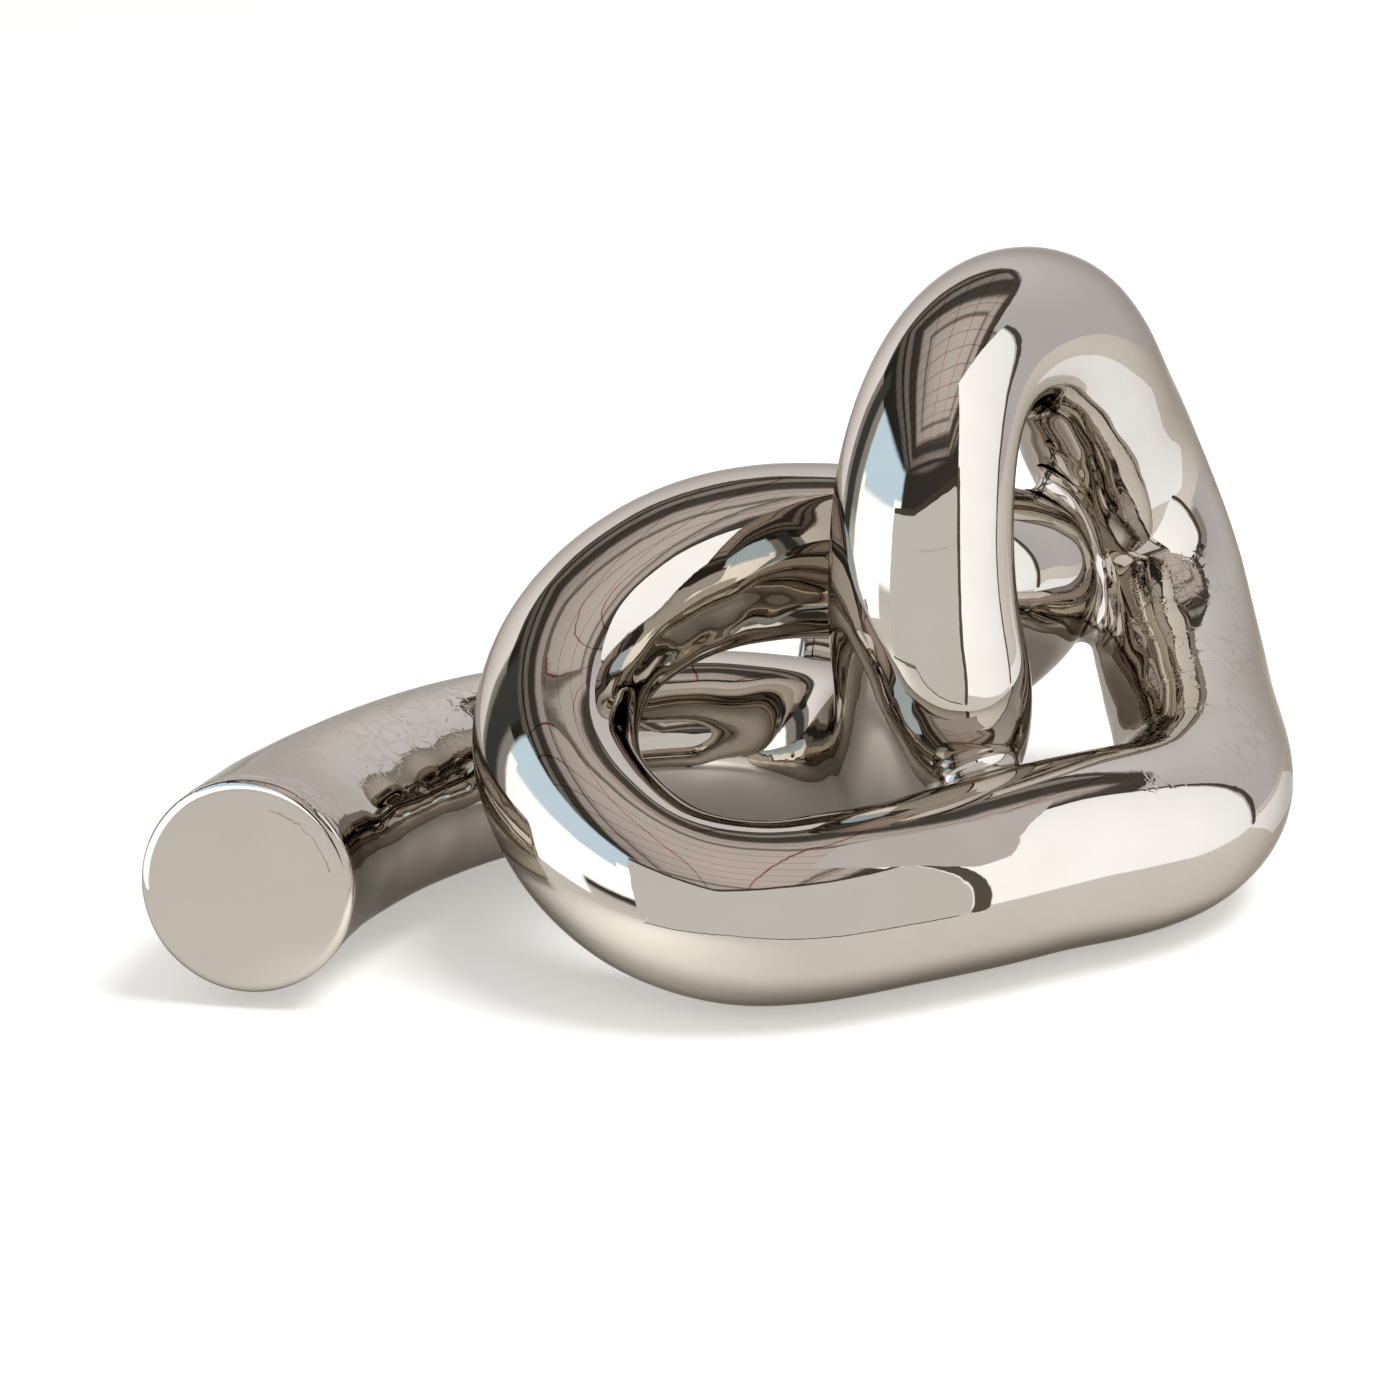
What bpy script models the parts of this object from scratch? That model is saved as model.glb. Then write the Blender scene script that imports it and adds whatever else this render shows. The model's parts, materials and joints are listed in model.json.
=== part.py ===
"""Polished knot sculpture.

A hollow metal tube winds round itself in a loose knot and rests on three of its bends. It is
built from short cast lengths that are butted over inner sleeves, closed by a flat disc at each
end, fused where two runs touch, and set on small felt pads.

Metres, +Z up, +X to the right and +Y away from the viewer. The origin is on the ground under
the middle of the sculpture.
"""
import math
from typing import NamedTuple

import bmesh
import bpy
import numpy as np
from mathutils import Matrix, Vector

# Driving dimensions in metres
TUBE_RADIUS = 0.0265
WALL = 0.004
JOINT_GAP = 0.0003

SLEEVE_LENGTH = 0.016
SLEEVE_WALL = 0.003
SLEEVE_CLEARANCE = 0.0008

DISC_THICKNESS = 0.005
DISC_EDGE_ROUND = 0.0028
SPIGOT_LENGTH = 0.009
SPIGOT_WALL = 0.003

FILLET_LENGTH = 0.026
FILLET_WIDTH = 0.017
FILLET_HEIGHT = 0.014

PAD_DIAMETER = 0.010
PAD_THICKNESS = 0.001
PAD_RISE = 0.004
PAD_SETBACK = 0.006
PAD_CUTTER_REACH = 0.015

# How finely the shapes are drawn
SIDES = 18
PAD_SIDES = 16
CUTTER_SIDES = 32
RING_PITCH = 0.016
RING_TURN = math.radians(19.0)
CUTTER_PITCH = 0.008
LEAST_PITCH = 0.005
EDGE_STEPS = 3
DISC_FACE_RINGS = (0.35, 0.7)
SPLINE_SAMPLES = 4000
SEARCH_SAMPLES = 160
SMOOTH_ANGLE = math.radians(35.0)


class Station(NamedTuple):
    """A place on the tube's centreline, in tube radii, with the tube's swell there."""

    name: str
    x: float
    y: float
    z: float
    swell: float


# The route from the near end to the hidden one. A stretch that lies on the ground has its
# centre as high as the tube is fat there, so z equals swell.
ROUTE = (
    Station("tail_end", -4.75, -3.30, 1.27, 1.17),
    Station("tail_lip", -4.45, -1.90, 1.15, 1.14),
    Station("tail_bend", -3.85, -0.55, 1.11, 1.11),
    Station("tail_rest", -2.90, 0.75, 1.09, 1.09),
    Station("tail_under_ring", -1.60, 1.70, 1.08, 1.07),
    Station("tail_back", -0.10, 2.15, 1.07, 1.07),
    Station("heel_in", 1.15, 1.85, 1.08, 1.08),
    Station("heel_turn", 2.00, 1.10, 1.20, 1.09),
    Station("heel_rise", 2.45, 0.20, 1.65, 1.11),
    Station("foot", 2.55, -0.40, 2.45, 1.11),
    Station("front_low", 2.45, -0.55, 3.25, 1.08),
    Station("front_mid", 2.40, -0.55, 4.10, 1.03),
    Station("front_high", 2.45, -0.40, 4.95, 0.98),
    Station("shoulder", 2.65, 0.00, 5.65, 0.93),
    Station("bend_front", 3.10, 0.75, 6.10, 0.92),
    Station("apex", 3.80, 1.80, 6.00, 0.98),
    Station("bend_back", 4.47, 3.06, 4.98, 1.00),
    Station("leg_high", 4.98, 3.98, 3.86, 1.00),
    Station("leg_mid", 5.43, 4.03, 2.74, 1.00),
    Station("leg_low", 5.64, 3.18, 1.90, 1.00),
    Station("corner_up", 5.70, 1.60, 1.40, 1.00),
    Station("corner", 5.60, 0.10, 1.15, 1.03),
    Station("corner_out", 5.00, -0.90, 1.05, 1.05),
    Station("run_right", 4.00, -1.60, 1.05, 1.05),
    Station("run_mid", 2.80, -2.35, 1.02, 1.02),
    Station("run_left", 1.60, -3.00, 1.00, 1.00),
    Station("ring_front", 0.50, -3.30, 1.00, 1.00),
    Station("ring_rise", -0.50, -3.15, 1.25, 0.97),
    Station("ring_low", -1.25, -2.50, 1.75, 0.93),
    Station("ring_side", -1.55, -1.45, 2.35, 0.92),
    Station("ring_high", -1.20, -0.35, 3.05, 0.94),
    Station("ring_top", -0.25, 0.60, 3.52, 1.00),
    Station("crown_left", 0.95, 1.30, 3.60, 1.02),
    Station("crown_mid", 2.07, 1.62, 3.46, 1.02),
    Station("crown_right", 2.91, 1.81, 3.30, 1.02),
    Station("turn_out", 3.60, 2.58, 2.94, 1.00),
    Station("turn_back", 3.43, 3.52, 2.22, 1.02),
    Station("stub_down", 2.85, 4.23, 1.54, 1.06),
    Station("stub_low", 2.12, 4.60, 1.15, 1.10),
    Station("stub_end", 1.30, 4.78, 1.12, 1.12),
)

# Each cast length of tube, from one station to another
SECTIONS = (
    ("tube_tail", "tail_end", "tail_under_ring"),
    ("tube_tail_back", "tail_under_ring", "heel_in"),
    ("tube_heel", "heel_in", "front_low"),
    ("tube_front_leg", "front_low", "front_high"),
    ("tube_bend_front", "front_high", "apex"),
    ("tube_bend_back", "apex", "bend_back"),
    ("tube_right_leg", "bend_back", "leg_low"),
    ("tube_corner", "leg_low", "run_right"),
    ("tube_front_run", "run_right", "run_left"),
    ("tube_ring_low", "run_left", "ring_low"),
    ("tube_ring_high", "ring_low", "ring_top"),
    ("tube_crown", "ring_top", "crown_mid"),
    ("tube_back_turn", "crown_mid", "turn_back"),
    ("tube_stub", "turn_back", "stub_end"),
)

# Stations that a felt pad sits under
PAD_STATIONS = {
    "pad_tail": "tail_rest",
    "pad_heel": "heel_in",
    "pad_front_run": "ring_front",
    "pad_corner": "corner_out",
    "pad_stub": "stub_low",
}

# Stretches of the route that touch each other and are fused there
FUSED_RUNS = {
    "fillet_leg_to_run": (("heel_rise", "front_low"), ("run_right", "run_left")),
    "fillet_turn_to_leg": (("crown_right", "turn_back"), ("leg_high", "leg_low")),
}


class Finish(NamedTuple):
    """A colour, a metallic value and a roughness for a Principled material."""

    name: str
    colour: tuple
    metallic: float
    roughness: float


NICKEL = Finish("polished_nickel", (0.60, 0.565, 0.525, 1.0), 1.0, 0.06)
RAW_ALUMINIUM = Finish("raw_aluminium", (0.45, 0.45, 0.46, 1.0), 1.0, 0.45)
FELT = Finish("grey_felt", (0.10, 0.095, 0.09, 1.0), 0.0, 0.95)


def natural_spline(knots, values, at):
    """Values of the natural cubic spline through (knots, values), at the places in at."""
    count = len(knots)
    steps = np.diff(knots)[:, None]
    slopes = np.diff(values, axis=0) / steps
    system = np.eye(count)
    target = np.zeros_like(values)
    for row in range(1, count - 1):
        before, after = steps[row - 1, 0], steps[row, 0]
        system[row, row - 1:row + 2] = before, 2.0 * (before + after), after
        target[row] = 6.0 * (slopes[row] - slopes[row - 1])
    bend = np.linalg.solve(system, target)
    span = np.clip(np.searchsorted(knots, at) - 1, 0, count - 2)
    width = steps[span]
    into = (at - knots[span])[:, None]
    left = width - into
    curve = bend[span] * left ** 3 + bend[span + 1] * into ** 3
    line = (values[span] / width - bend[span] * width / 6.0) * left
    line += (values[span + 1] / width - bend[span + 1] * width / 6.0) * into
    return curve / (6.0 * width) + line


class Route:
    """The tube's centreline, measured by its length, with a steady frame along it."""

    def __init__(self, stations, joints):
        spots = np.array([[s.x, s.y, s.z] for s in stations]) * TUBE_RADIUS
        radii = np.array([[s.swell] for s in stations]) * TUBE_RADIUS
        knots = np.concatenate([[0.0], np.cumsum(np.linalg.norm(np.diff(spots, axis=0), axis=1))])
        at = np.linspace(0.0, knots[-1], SPLINE_SAMPLES)
        self.points = natural_spline(knots, spots, at)
        self.radii = natural_spline(knots, radii, at)[:, 0]
        hops = np.linalg.norm(np.diff(self.points, axis=0), axis=1)
        self.lengths = np.concatenate([[0.0], np.cumsum(hops)])
        self.marks = {s.name: float(np.interp(k, at, self.lengths)) for s, k in zip(stations, knots)}
        self.tangents = np.gradient(self.points, self.lengths, axis=0)
        self.tangents /= np.linalg.norm(self.tangents, axis=1)[:, None]
        self.normals = self.steady_normals()
        self.lattice = self.ring_lattice([self.marks[name] for name in joints])
        self.stand_on_ground()

    def steady_normals(self):
        """Normals that turn with the route and never spin round it."""
        normals = np.zeros_like(self.tangents)
        start = np.cross(self.tangents[0], [1.0, 0.0, 0.0])
        for row, tangent in enumerate(self.tangents):
            start = start - tangent * start.dot(tangent)
            start /= np.linalg.norm(start)
            normals[row] = start
        return normals

    def ring_lattice(self, joints):
        """Lengths of the tube's rings: one at every joint, and closer in the tight bends."""
        turns = np.linalg.norm(np.diff(self.tangents, axis=0), axis=1) / RING_TURN
        walks = np.diff(self.lengths) / RING_PITCH
        strides = np.concatenate([[0.0], np.cumsum(np.hypot(turns, walks))])
        lattice = [joints[0]]
        for near, far in zip(joints, joints[1:]):
            first, last = np.interp([near, far], self.lengths, strides)
            steps = np.linspace(first, last, 1 + math.ceil(last - first))
            lattice.extend(np.interp(steps[1:], strides, self.lengths))
        return np.array(lattice)

    def stand_on_ground(self):
        """Centre the tube over the origin and lift it by what the pads take up."""
        rings = [self.ring(at, self.radius(at)) for at in self.lattice]
        cloud = np.array(rings).reshape(-1, 3)
        middle = (cloud.min(axis=0) + cloud.max(axis=0)) / 2.0
        self.points += [-middle[0], -middle[1], PAD_THICKNESS + JOINT_GAP]

    def sample(self, table, at):
        """A row of a table that runs along the route, at the given length."""
        return np.array([np.interp(at, self.lengths, table[:, axis]) for axis in range(3)])

    def radius(self, at):
        """The tube's outer radius at the given length."""
        return float(np.interp(at, self.lengths, self.radii))

    def frame(self, at):
        """Centre, tangent and two square normals at the given length."""
        tangent = self.sample(self.tangents, at)
        tangent /= np.linalg.norm(tangent)
        normal = self.sample(self.normals, at)
        normal -= tangent * normal.dot(tangent)
        normal /= np.linalg.norm(normal)
        return self.sample(self.points, at), tangent, normal, np.cross(tangent, normal)

    def ring(self, at, radius, sides=SIDES):
        """Corners of a ring square to the route."""
        centre, _, normal, side = self.frame(at)
        angles = np.linspace(0.0, 2.0 * math.pi, sides, endpoint=False)
        spokes = np.outer(np.cos(angles), normal) + np.outer(np.sin(angles), side)
        return centre + spokes * radius

    def stops(self, start, end):
        """Lengths of the rings from start to end: both ends and the lattice between them."""
        clear = (self.lattice > start + LEAST_PITCH) & (self.lattice < end - LEAST_PITCH)
        inner = self.lattice[clear]
        return np.concatenate([[start], inner, [end]])


def material(finish):
    """The Principled material of a finish, made once."""
    found = bpy.data.materials.get(finish.name)
    if found:
        return found
    made = bpy.data.materials.new(finish.name)
    made.use_nodes = True
    shader = made.node_tree.nodes["Principled BSDF"]
    shader.inputs["Base Color"].default_value = finish.colour
    shader.inputs["Metallic"].default_value = finish.metallic
    shader.inputs["Roughness"].default_value = finish.roughness
    made.diffuse_color = finish.colour
    return made


def add_object(name, bm, finish, parent):
    """Turn a bmesh into a named, smooth shaded object with a finish."""
    bmesh.ops.recalc_face_normals(bm, faces=bm.faces)
    mesh = bpy.data.meshes.new(name)
    bm.to_mesh(mesh)
    bm.free()
    mesh.materials.append(material(finish))
    mesh.shade_smooth()
    mesh.set_sharp_from_angle(angle=SMOOTH_ANGLE)
    made = bpy.data.objects.new(name, mesh)
    bpy.context.scene.collection.objects.link(made)
    made.parent = parent
    return made


def skin(bm, rings, closed):
    """Quads between neighbouring rings, and from the last to the first if closed."""
    loops = [[bm.verts.new(corner) for corner in ring] for ring in rings]
    pairs = list(zip(loops, loops[1:]))
    if closed:
        pairs.append((loops[-1], loops[0]))
    for near, far in pairs:
        for k in range(len(near)):
            after = (k + 1) % len(near)
            bm.faces.new((near[k], near[after], far[after], far[k]))
    return loops


def tube(name, route, start, end, outer, inner, finish, parent):
    """An open tube along the route, between two lengths; outer and inner give its radii."""
    stops = route.stops(start, end)
    rings = [route.ring(at, outer(at)) for at in stops]
    rings += [route.ring(at, inner(at)) for at in reversed(stops)]
    bm = bmesh.new()
    skin(bm, rings, closed=True)
    return add_object(name, bm, finish, parent)


def bore(route, at):
    """The tube's inner radius at the given length."""
    return route.radius(at) - WALL


def make_sections(route, parent):
    """The cast lengths of tube, each half a joint gap short of its neighbours."""
    for name, first, last in SECTIONS:
        start = route.marks[first] + JOINT_GAP / 2.0
        end = route.marks[last] - JOINT_GAP / 2.0
        if first == ROUTE[0].name:
            start = DISC_THICKNESS + JOINT_GAP
        if last == ROUTE[-1].name:
            end = float(route.lengths[-1]) - DISC_THICKNESS - JOINT_GAP
        tube(name, route, start, end, route.radius, lambda at: bore(route, at), NICKEL, parent)


def make_sleeves(route, parent):
    """The sleeves inside the joints, which line the cast lengths up."""
    for (name, _, last), _ in zip(SECTIONS, SECTIONS[1:]):
        middle = route.marks[last]
        tube(
            name.replace("tube_", "sleeve_after_"),
            route,
            middle - SLEEVE_LENGTH / 2.0,
            middle + SLEEVE_LENGTH / 2.0,
            lambda at: bore(route, at) - SLEEVE_CLEARANCE,
            lambda at: bore(route, at) - SLEEVE_CLEARANCE - SLEEVE_WALL,
            RAW_ALUMINIUM,
            parent,
        )


def make_end_disc(name, route, at, outward, parent):
    """A flat disc with a rounded edge over a tube end, on a spigot that fills the bore."""
    rim = route.radius(at)
    spigot = rim - WALL - SLEEVE_CLEARANCE
    depth = DISC_THICKNESS + SPIGOT_LENGTH
    profile = [(rim * share, 0.0) for share in DISC_FACE_RINGS]
    for step in range(EDGE_STEPS + 1):
        angle = math.pi / 2.0 * step / EDGE_STEPS
        inset = DISC_EDGE_ROUND * (1.0 - math.sin(angle))
        sink = DISC_EDGE_ROUND * (1.0 - math.cos(angle))
        profile.append((rim - inset, sink))
    profile += [(rim, DISC_THICKNESS), (spigot, DISC_THICKNESS), (spigot, depth)]
    profile += [(spigot - SPIGOT_WALL, depth), (spigot - SPIGOT_WALL, DISC_THICKNESS)]
    bm = bmesh.new()
    rings = [route.ring(at - outward * back, radius) for radius, back in profile]
    loops = skin(bm, rings, closed=False)
    for loop, back in ((loops[0], 0.0), (loops[-1], DISC_THICKNESS)):
        pole = bm.verts.new(route.frame(at - outward * back)[0])
        for k, corner in enumerate(loop):
            bm.faces.new((pole, corner, loop[(k + 1) % len(loop)]))
    return add_object(name, bm, NICKEL, parent)


def make_guard(name, route, start, end):
    """A hidden solid of a stretch of tube, fatter by the joint gap, to cut neighbours with."""
    stops = np.linspace(start, end, 2 + round((end - start) / CUTTER_PITCH))
    bm = bmesh.new()
    rings = [route.ring(at, route.radius(at) + JOINT_GAP, CUTTER_SIDES) for at in stops]
    loops = skin(bm, rings, closed=False)
    bm.faces.new(loops[0])
    bm.faces.new(loops[-1])
    guard = add_object(name, bm, FELT, None)
    guard.hide_render = True
    guard.display_type = "WIRE"
    return guard


def cut(piece, guards):
    """Cut a piece by each guard with a Boolean modifier."""
    for guard in guards:
        boolean = piece.modifiers.new(guard.name, "BOOLEAN")
        boolean.operation = "DIFFERENCE"
        boolean.solver = "EXACT"
        boolean.object = guard


def nearest_places(route, one, other):
    """Lengths at which two stretches of the route come closest, skin to skin."""
    def pick(stretch):
        ends = sorted(route.marks[name] for name in stretch)
        return np.linspace(ends[0], ends[1], SEARCH_SAMPLES)

    ones, others = pick(one), pick(other)
    here = np.array([route.sample(route.points, at) for at in ones])
    there = np.array([route.sample(route.points, at) for at in others])
    reach = np.array([route.radius(at) for at in ones])[:, None]
    reach = reach + np.array([route.radius(at) for at in others])[None, :]
    gaps = np.linalg.norm(here[:, None] - there[None], axis=2) - reach
    row, column = np.unravel_index(np.argmin(gaps), gaps.shape)
    return ones[row], others[column]


def make_fillet(name, route, one, other, parent):
    """The metal that fuses two touching runs: a bead cut to the shape of both tubes."""
    here, there = nearest_places(route, one, other)
    near, near_way, _, _ = route.frame(here)
    far, far_way, _, _ = route.frame(there)
    across = (far - near) / np.linalg.norm(far - near)
    middle = near + across * (route.radius(here) + np.linalg.norm(far - near) - route.radius(there)) / 2.0
    if near_way.dot(far_way) < 0.0:
        far_way = -far_way
    along = near_way + far_way
    along -= across * along.dot(across)
    along /= np.linalg.norm(along)
    axes = Matrix(np.column_stack([along, np.cross(across, along), across]).tolist()).to_4x4()
    size = Matrix.Diagonal((FILLET_LENGTH / 2.0, FILLET_WIDTH / 2.0, FILLET_HEIGHT / 2.0, 1.0))
    bm = bmesh.new()
    place = Matrix.Translation(Vector(middle)) @ axes @ size
    bmesh.ops.create_icosphere(bm, subdivisions=2, radius=1.0, matrix=place)
    bead = add_object(name, bm, NICKEL, parent)
    cut(bead, [
        make_guard(name + "_guard_a", route, here - FILLET_LENGTH, here + FILLET_LENGTH),
        make_guard(name + "_guard_b", route, there - FILLET_LENGTH, there + FILLET_LENGTH),
    ])
    return bead


def make_pad(name, route, station, parent):
    """A felt pad under a run, flat on the ground and hollowed to the tube above it."""
    at = route.marks[station]
    centre = route.frame(at)[0]
    height = PAD_THICKNESS + PAD_RISE
    bm = bmesh.new()
    place = Matrix.Translation((centre[0], centre[1] + PAD_SETBACK, height / 2.0))
    bmesh.ops.create_cone(
        bm,
        cap_ends=True,
        segments=PAD_SIDES,
        radius1=PAD_DIAMETER / 2.0,
        radius2=PAD_DIAMETER / 2.0,
        depth=height,
        matrix=place,
    )
    pad = add_object(name, bm, FELT, parent)
    start, end = at - PAD_CUTTER_REACH, at + PAD_CUTTER_REACH
    cut(pad, [make_guard(name + "_guard", route, start, end)])
    return pad


def clear_scene():
    """Remove the objects that the file opens with."""
    for old in list(bpy.data.objects):
        bpy.data.objects.remove(old, do_unlink=True)


def main():
    """Build the sculpture."""
    clear_scene()
    knot = bpy.data.objects.new("knot_sculpture", None)
    bpy.context.scene.collection.objects.link(knot)
    joints = [first for _, first, _ in SECTIONS] + [SECTIONS[-1][2]]
    route = Route(ROUTE, joints)
    make_sections(route, knot)
    make_sleeves(route, knot)
    make_end_disc("end_disc_front", route, 0.0, -1.0, knot)
    make_end_disc("end_disc_back", route, float(route.lengths[-1]), 1.0, knot)
    for name, (one, other) in FUSED_RUNS.items():
        make_fillet(name, route, one, other, knot)
    for name, station in PAD_STATIONS.items():
        make_pad(name, route, station, knot)


main()
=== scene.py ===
"""The knot sculpture dressed for its picture.

One polished nickel skin runs the whole length of the knot. Its ends are closed by flat discs,
the places where two runs touch are fused by small fillets, and felt pads sit under the bends.
A plain pale floor and a ring of studio boards give the mirror finish something to show.

Metres, +Z up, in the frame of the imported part.
"""

import json
import logging
import math
from dataclasses import dataclass, field
from enum import Enum
from typing import Any, NamedTuple

import bmesh
import bpy
import numpy as np
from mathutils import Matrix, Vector, noise

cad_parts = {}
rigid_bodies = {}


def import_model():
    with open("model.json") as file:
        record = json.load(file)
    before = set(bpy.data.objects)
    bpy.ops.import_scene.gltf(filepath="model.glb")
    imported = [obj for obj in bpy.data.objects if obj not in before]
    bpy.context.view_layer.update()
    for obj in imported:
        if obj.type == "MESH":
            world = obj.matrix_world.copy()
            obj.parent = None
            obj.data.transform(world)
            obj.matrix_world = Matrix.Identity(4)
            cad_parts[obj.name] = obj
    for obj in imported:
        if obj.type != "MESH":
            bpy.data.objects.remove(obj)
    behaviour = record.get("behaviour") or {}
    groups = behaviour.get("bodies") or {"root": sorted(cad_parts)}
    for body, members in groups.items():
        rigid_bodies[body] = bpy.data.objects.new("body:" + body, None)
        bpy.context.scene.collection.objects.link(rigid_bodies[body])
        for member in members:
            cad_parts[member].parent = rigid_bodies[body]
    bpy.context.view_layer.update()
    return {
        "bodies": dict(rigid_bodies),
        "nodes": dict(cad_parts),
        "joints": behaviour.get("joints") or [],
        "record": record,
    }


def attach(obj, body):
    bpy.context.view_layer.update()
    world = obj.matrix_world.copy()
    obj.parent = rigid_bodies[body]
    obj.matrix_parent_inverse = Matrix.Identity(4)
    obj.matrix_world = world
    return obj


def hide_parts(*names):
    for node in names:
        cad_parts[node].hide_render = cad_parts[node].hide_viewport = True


LOG = logging.getLogger("knot")
MM = 0.001
BODY = "root"
SHARP_ANGLE = math.radians(40.0)

BUMP = "ShaderNodeBump"
MAP_RANGE = "ShaderNodeMapRange"
MATH = "ShaderNodeMath"
MIX = "ShaderNodeMix"
NOISE = "ShaderNodeTexNoise"
VECTOR_MATH = "ShaderNodeVectorMath"
RGBA = {"data_type": "RGBA"}
SMOOTH = {"interpolation_type": "SMOOTHSTEP"}

Material = bpy.types.Material
Mesh = bpy.types.Mesh
Node = bpy.types.Node
Socket = bpy.types.NodeSocket
Tree = bpy.types.NodeTree
Place = tuple[float, float, float]
Pair = tuple[float, float]
Feeds = tuple[Any, ...] | dict[str, Any]


class Station(NamedTuple):
    """A place on the tube's centreline, in tube radii, with the tube's swell there."""

    name: str
    x: float
    y: float
    z: float
    swell: float


ROUTE = (
    Station("tail_end", -4.75, -3.30, 1.27, 1.17),
    Station("tail_lip", -4.45, -1.90, 1.15, 1.14),
    Station("tail_bend", -3.85, -0.55, 1.11, 1.11),
    Station("tail_rest", -2.90, 0.75, 1.09, 1.09),
    Station("tail_under_ring", -1.60, 1.70, 1.08, 1.07),
    Station("tail_back", -0.10, 2.15, 1.07, 1.07),
    Station("heel_in", 1.15, 1.85, 1.08, 1.08),
    Station("heel_turn", 2.00, 1.10, 1.20, 1.09),
    Station("heel_rise", 2.45, 0.20, 1.65, 1.11),
    Station("foot", 2.55, -0.40, 2.45, 1.11),
    Station("front_low", 2.45, -0.55, 3.25, 1.08),
    Station("front_mid", 2.40, -0.55, 4.10, 1.03),
    Station("front_high", 2.45, -0.40, 4.95, 0.98),
    Station("shoulder", 2.65, 0.00, 5.65, 0.93),
    Station("bend_front", 3.10, 0.75, 6.10, 0.92),
    Station("apex", 3.80, 1.80, 6.00, 0.98),
    Station("bend_back", 4.47, 3.06, 4.98, 1.00),
    Station("leg_high", 4.98, 3.98, 3.86, 1.00),
    Station("leg_mid", 5.43, 4.03, 2.74, 1.00),
    Station("leg_low", 5.64, 3.18, 1.90, 1.00),
    Station("corner_up", 5.70, 1.60, 1.40, 1.00),
    Station("corner", 5.60, 0.10, 1.15, 1.03),
    Station("corner_out", 5.00, -0.90, 1.05, 1.05),
    Station("run_right", 4.00, -1.60, 1.05, 1.05),
    Station("run_mid", 2.80, -2.35, 1.02, 1.02),
    Station("run_left", 1.60, -3.00, 1.00, 1.00),
    Station("ring_front", 0.50, -3.30, 1.00, 1.00),
    Station("ring_rise", -0.50, -3.15, 1.25, 0.97),
    Station("ring_low", -1.25, -2.50, 1.75, 0.93),
    Station("ring_side", -1.55, -1.45, 2.35, 0.92),
    Station("ring_high", -1.20, -0.35, 3.05, 0.94),
    Station("ring_top", -0.25, 0.60, 3.52, 1.00),
    Station("crown_left", 0.95, 1.30, 3.60, 1.02),
    Station("crown_mid", 2.07, 1.62, 3.46, 1.02),
    Station("crown_right", 2.91, 1.81, 3.30, 1.02),
    Station("turn_out", 3.60, 2.58, 2.94, 1.00),
    Station("turn_back", 3.43, 3.52, 2.22, 1.02),
    Station("stub_down", 2.85, 4.23, 1.54, 1.06),
    Station("stub_low", 2.12, 4.60, 1.15, 1.10),
    Station("stub_end", 1.30, 4.78, 1.12, 1.12),
)


class Spot(Enum):
    """Places on the knot with a small piece of their own."""

    @property
    def node(self) -> str:
        """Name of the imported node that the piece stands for."""
        return self.value[0]


class Contact(Spot):
    """Two places where runs of the tube touch: the stretches of route that meet there."""

    LEG_ON_RUN = ("fillet_leg_to_run", ("heel_rise", "front_low"), ("run_right", "run_left"))
    TURN_ON_LEG = ("fillet_turn_to_leg", ("crown_right", "turn_back"), ("leg_high", "leg_low"))


class End(Spot):
    """The two ends of the tube, and which way out of the tube each one faces."""

    FRONT = ("end_disc_front", -1.0)
    BACK = ("end_disc_back", 1.0)

    @property
    def outward(self) -> float:
        """-1 at the start of the route and 1 at its end."""
        return self.value[1]


def linear(hex_colour: str) -> tuple[float, float, float, float]:
    """Turn an sRGB hex colour into linear RGBA.

    Args:
        hex_colour: A hash and six hex digits.

    Returns:
        Linear red, green and blue, and an alpha of 1.
    """
    shares = [int(hex_colour[k:k + 2], 16) / 255.0 for k in (1, 3, 5)]
    curved = [c / 12.92 if c <= 0.04045 else ((c + 0.055) / 1.055) ** 2.4 for c in shares]
    return (*curved, 1.0)


def feed(node: Node, feeds: Feeds) -> None:
    """Feed a node's inputs.

    Args:
        node: The node.
        feeds: What goes into its inputs, by name, or in order into those that are on: a value, a
            socket, or a node, which stands for its first output that is on.
    """
    if isinstance(feeds, dict):
        pairs = [(node.inputs[name], value) for name, value in feeds.items()]
    else:
        pairs = list(zip([socket for socket in node.inputs if socket.enabled], feeds))
    for socket, value in pairs:
        if isinstance(value, Node):
            value = next(out for out in value.outputs if out.enabled)
        if isinstance(value, Socket):
            node.id_data.links.new(value, socket)
        else:
            socket.default_value = value


def add_node(tree: Tree, kind: str, feeds: Feeds = (), **settings: Any) -> Node:
    """Add a node with its settings and whatever feeds its inputs.

    Args:
        tree: The node tree to add to.
        kind: The node's type name.
        feeds: What goes into its inputs, as in feed.
        settings: Properties of the node, by name.

    Returns:
        The new node.
    """
    node = tree.nodes.new(kind)
    for name, value in settings.items():
        setattr(node, name, value)
    feed(node, feeds)
    return node


def start_material(name: str, empty: bool = False) -> tuple[Material, Tree]:
    """Start a material with nodes.

    Args:
        name: The material's name.
        empty: Whether to take out the shader that a new material has.

    Returns:
        The material and its node tree.
    """
    made = bpy.data.materials.new(name)
    made.use_nodes = True
    if empty:
        made.node_tree.nodes.clear()
    return made, made.node_tree


def finish_mesh(bm: bmesh.types.BMesh, name: str) -> Mesh:
    """Turn a bmesh into a mesh and free it.

    Args:
        bm: The bmesh.
        name: The mesh's name.

    Returns:
        The new mesh.
    """
    mesh = bpy.data.meshes.new(name)
    bm.to_mesh(mesh)
    bm.free()
    return mesh


def put_in_scene(data: Any) -> bpy.types.Object:
    """Put a mesh, a light or a camera in the scene under its own name.

    Args:
        data: The mesh, light or camera.

    Returns:
        The new object.
    """
    made = bpy.data.objects.new(data.name, data)
    bpy.context.scene.collection.objects.link(made)
    return made


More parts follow.
